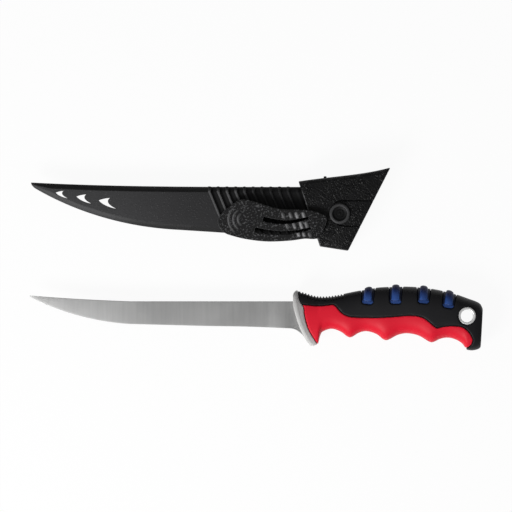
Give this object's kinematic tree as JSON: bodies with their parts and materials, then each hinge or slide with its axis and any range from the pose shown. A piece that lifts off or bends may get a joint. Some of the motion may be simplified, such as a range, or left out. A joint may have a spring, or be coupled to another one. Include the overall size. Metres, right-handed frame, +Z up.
{
  "type": "fishing fillet knife with sheath",
  "caption": "Fillet knife with a slim satin blade, grey guard and two-tone grip with blue saddles, lying beside its black belt sheath with a spring clip and a retention tongue.",
  "frame": {"origin": "on the table, under the middle of the pair's outline seen from above", "axes": "+X from the blade's tip to the butt, +Y from the knife to the sheath, +Z up from the table"},
  "size_m": [0.306, 0.1232, 0.0306],
  "materials": {
    "blade_steel": "satin, fine cross grain",
    "guard_grey": "satin pale grey",
    "core_plastic": "as moulded",
    "black_rubber": "matt moulded",
    "red_rubber": "matt moulded",
    "blue_plastic": "satin",
    "eyelet_metal": "satin",
    "sheath_plastic": "moulded, grained on the collar"
  },
  "bodies": {
    "sheath": {"scabbard": "sheath_plastic", "collar": "sheath_plastic", "clip_root": "sheath_plastic"},
    "belt_clip": {"belt_clip": "sheath_plastic"},
    "tongue": {"retention_tongue": "sheath_plastic", "retention_button": "sheath_plastic"},
    "knife": {"blade": "blade_steel", "guard": "guard_grey", "handle_core": "core_plastic", "back_cover": "black_rubber", "finger_grip": "red_rubber", "grip_lug_1": "blue_plastic", "grip_lug_2": "blue_plastic", "grip_lug_3": "blue_plastic", "grip_lug_4": "blue_plastic", "lanyard_eyelet": "eyelet_metal", "eyelet_washer": "eyelet_metal"}
  },
  "joints": [
    {"name": "belt_clip_flex", "type": "hinge", "parent": "sheath", "child": "belt_clip", "pos_m": [0.03855, 0.0243, 0.0293], "axis": [0, 1, 0], "range_deg": [0, 8], "stiffness_Nm_per_rad": 4},
    {"name": "tongue_flex", "type": "hinge", "parent": "sheath", "child": "tongue", "pos_m": [0.0486, 0.0309, 0.02605], "axis": [0, -1, 0], "range_deg": [0, 6], "stiffness_Nm_per_rad": 2},
    {"name": "knife_draw", "type": "slide", "parent": "sheath", "child": "knife", "axis": [1, 0, 0], "range_m": [0, 0.19]}
  ]
}
